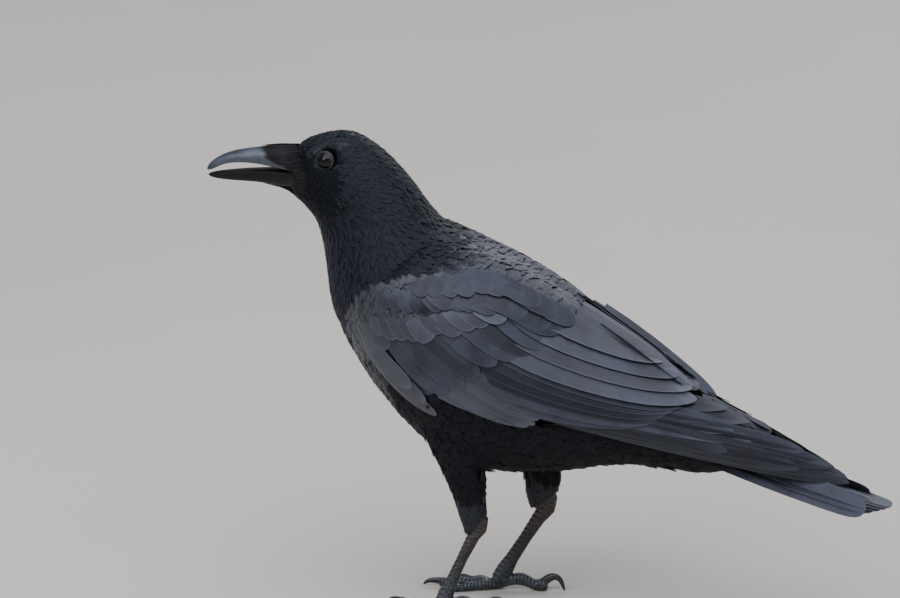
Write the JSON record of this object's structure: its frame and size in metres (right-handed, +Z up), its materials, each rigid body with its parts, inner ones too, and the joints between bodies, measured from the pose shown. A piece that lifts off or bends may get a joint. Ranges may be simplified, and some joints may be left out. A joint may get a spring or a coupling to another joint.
{
  "type": "standing carrion crow",
  "caption": "Life-size carrion crow standing still, wings folded, bill slightly open, one foot ahead of the other.",
  "frame": {"origin": "middle of the bounding box, at the floor that the bird stands on", "axes": "-X the way the bird faces, +X towards the tail, -Y its left side, +Z up"},
  "size_m": [0.4289, 0.117, 0.302],
  "materials": {
    "body_feather": "black contour feathers with a faint blue-violet gloss",
    "flight_feather": "black flight feathers with a slate-blue sheen",
    "bill": "smooth black horn",
    "claw": "smooth dark horn",
    "leg_skin": "dull black scaled skin",
    "eye": "wet dark brown eye"
  },
  "bodies": {
    "root": {"head": "body_feather", "neck": "body_feather", "trunk": "body_feather", "eye_left": "eye", "eye_right": "eye", "bill_upper": "bill", "bill_lower": "bill", "tail": "flight_feather", "wing_right_scapulars": "flight_feather", "wing_right_coverts": "flight_feather", "wing_right_secondaries": "flight_feather", "wing_right_primaries": "flight_feather", "wing_left_scapulars": "flight_feather", "wing_left_coverts": "flight_feather", "wing_left_secondaries": "flight_feather", "wing_left_primaries": "flight_feather", "thigh_left": "body_feather", "tarsus_left": "leg_skin", "foot_left": "leg_skin", "claw_left_inner": "claw", "claw_left_middle": "claw", "claw_left_outer": "claw", "claw_left_hind": "claw", "thigh_right": "body_feather", "tarsus_right": "leg_skin", "foot_right": "leg_skin", "claw_right_inner": "claw", "claw_right_middle": "claw", "claw_right_outer": "claw", "claw_right_hind": "claw"}
  },
  "joints": []
}
